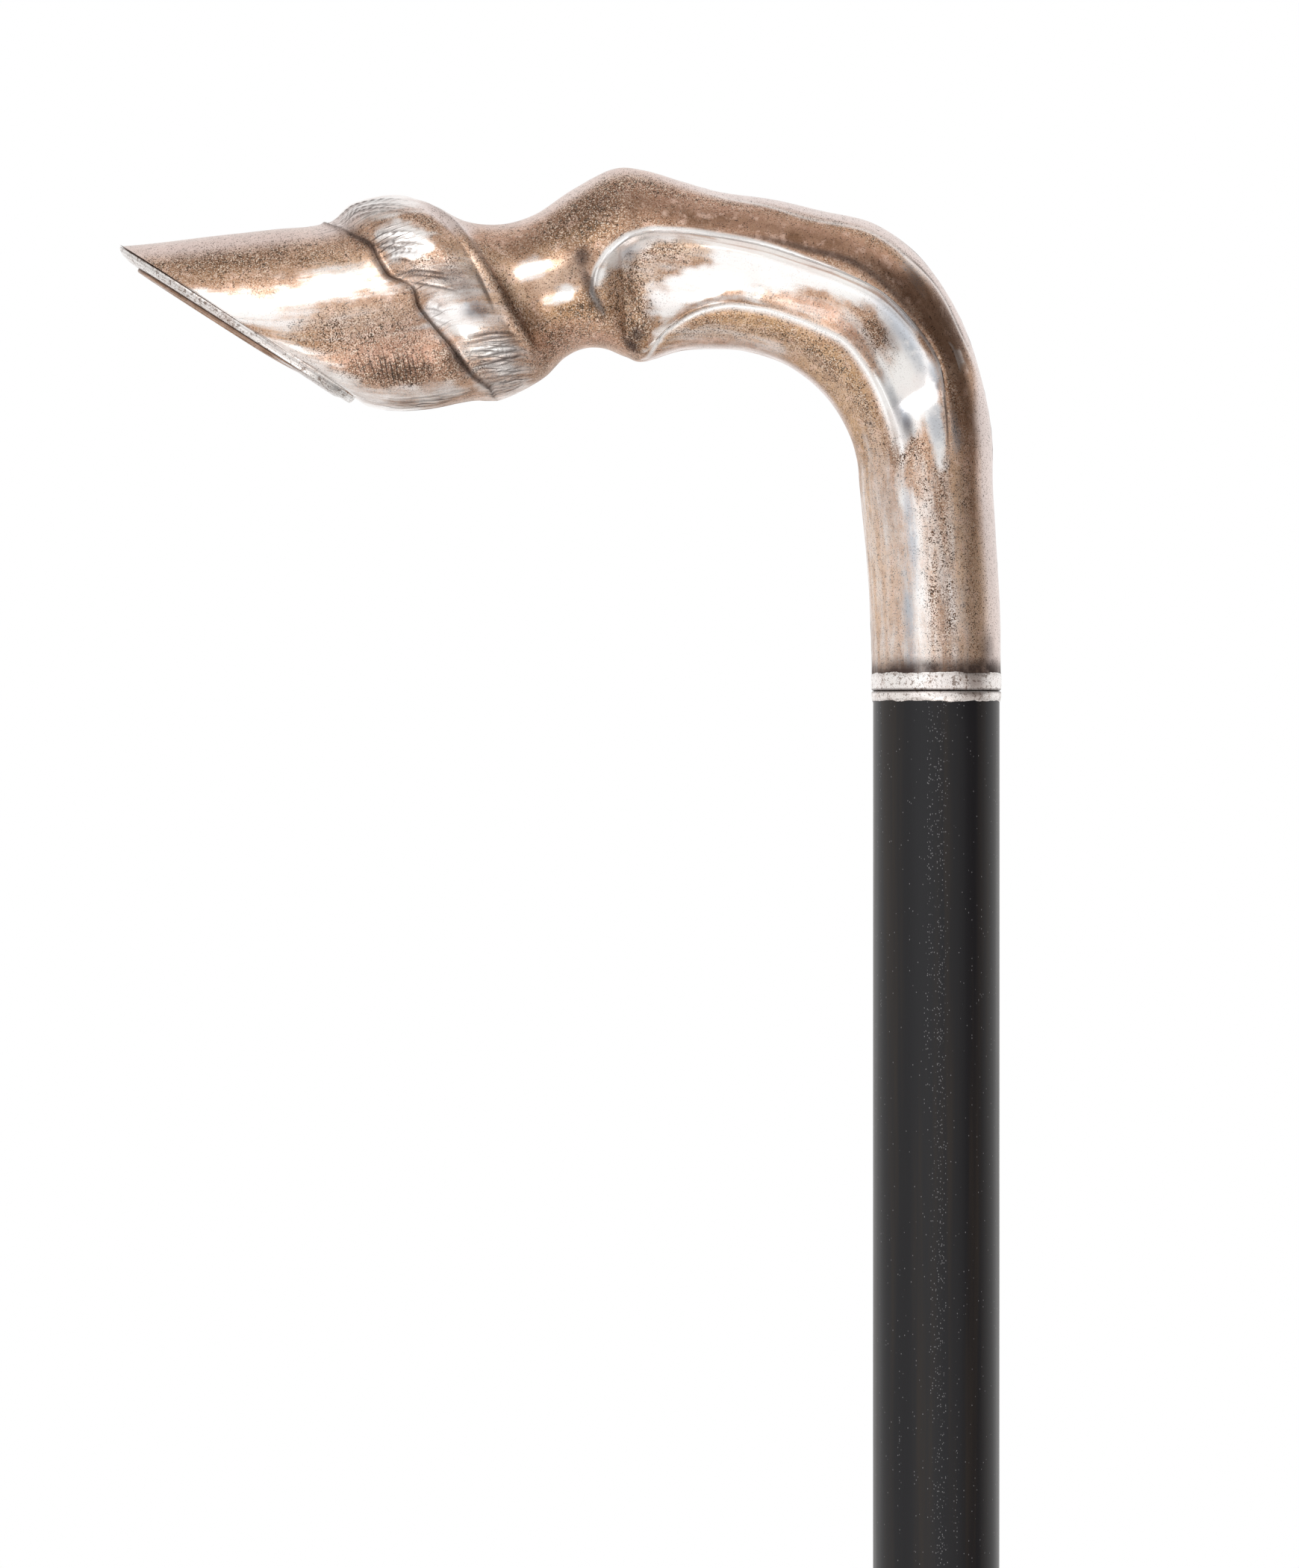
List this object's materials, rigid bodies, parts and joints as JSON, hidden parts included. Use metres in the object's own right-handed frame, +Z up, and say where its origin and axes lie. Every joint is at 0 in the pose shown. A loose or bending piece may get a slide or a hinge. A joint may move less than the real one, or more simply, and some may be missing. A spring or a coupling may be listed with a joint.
{
  "type": "walking cane",
  "caption": "Walking cane with a silvered handle shaped as a horse's lower leg and hoof, a collar, a tapered black hardwood shaft and a brass ferrule.",
  "frame": {"origin": "centre of the foot, on the ground, on the shaft's axis", "axes": "+Z up along the shaft, the hoof of the handle points to -X, and the handle's two halves meet on Y = 0"},
  "size_m": [0.1282, 0.028, 0.9002],
  "materials": {
    "silvered_sheet": "silver plate over copper, worn and pitted, satin",
    "pale_silver": "silver plate, satin",
    "gilt_bead": "silver plate worn to a warm tone, satin",
    "pitch": "matte",
    "black_wood": "oiled, satin, fine pale pores",
    "ferrule_brass": "dull brass, scuffed",
    "tip_steel": "worn, dark"
  },
  "bodies": {
    "root": {"handle_half_near": "silvered_sheet", "handle_half_far": "silvered_sheet", "handle_filling": "pitch", "sole_plate": "pale_silver", "horseshoe": "silvered_sheet", "collar_band": "pale_silver", "collar_bead": "gilt_bead", "shaft": "black_wood", "ferrule_sleeve": "ferrule_brass", "ferrule_tip": "tip_steel", "ferrule_pins": "ferrule_brass"}
  },
  "joints": []
}
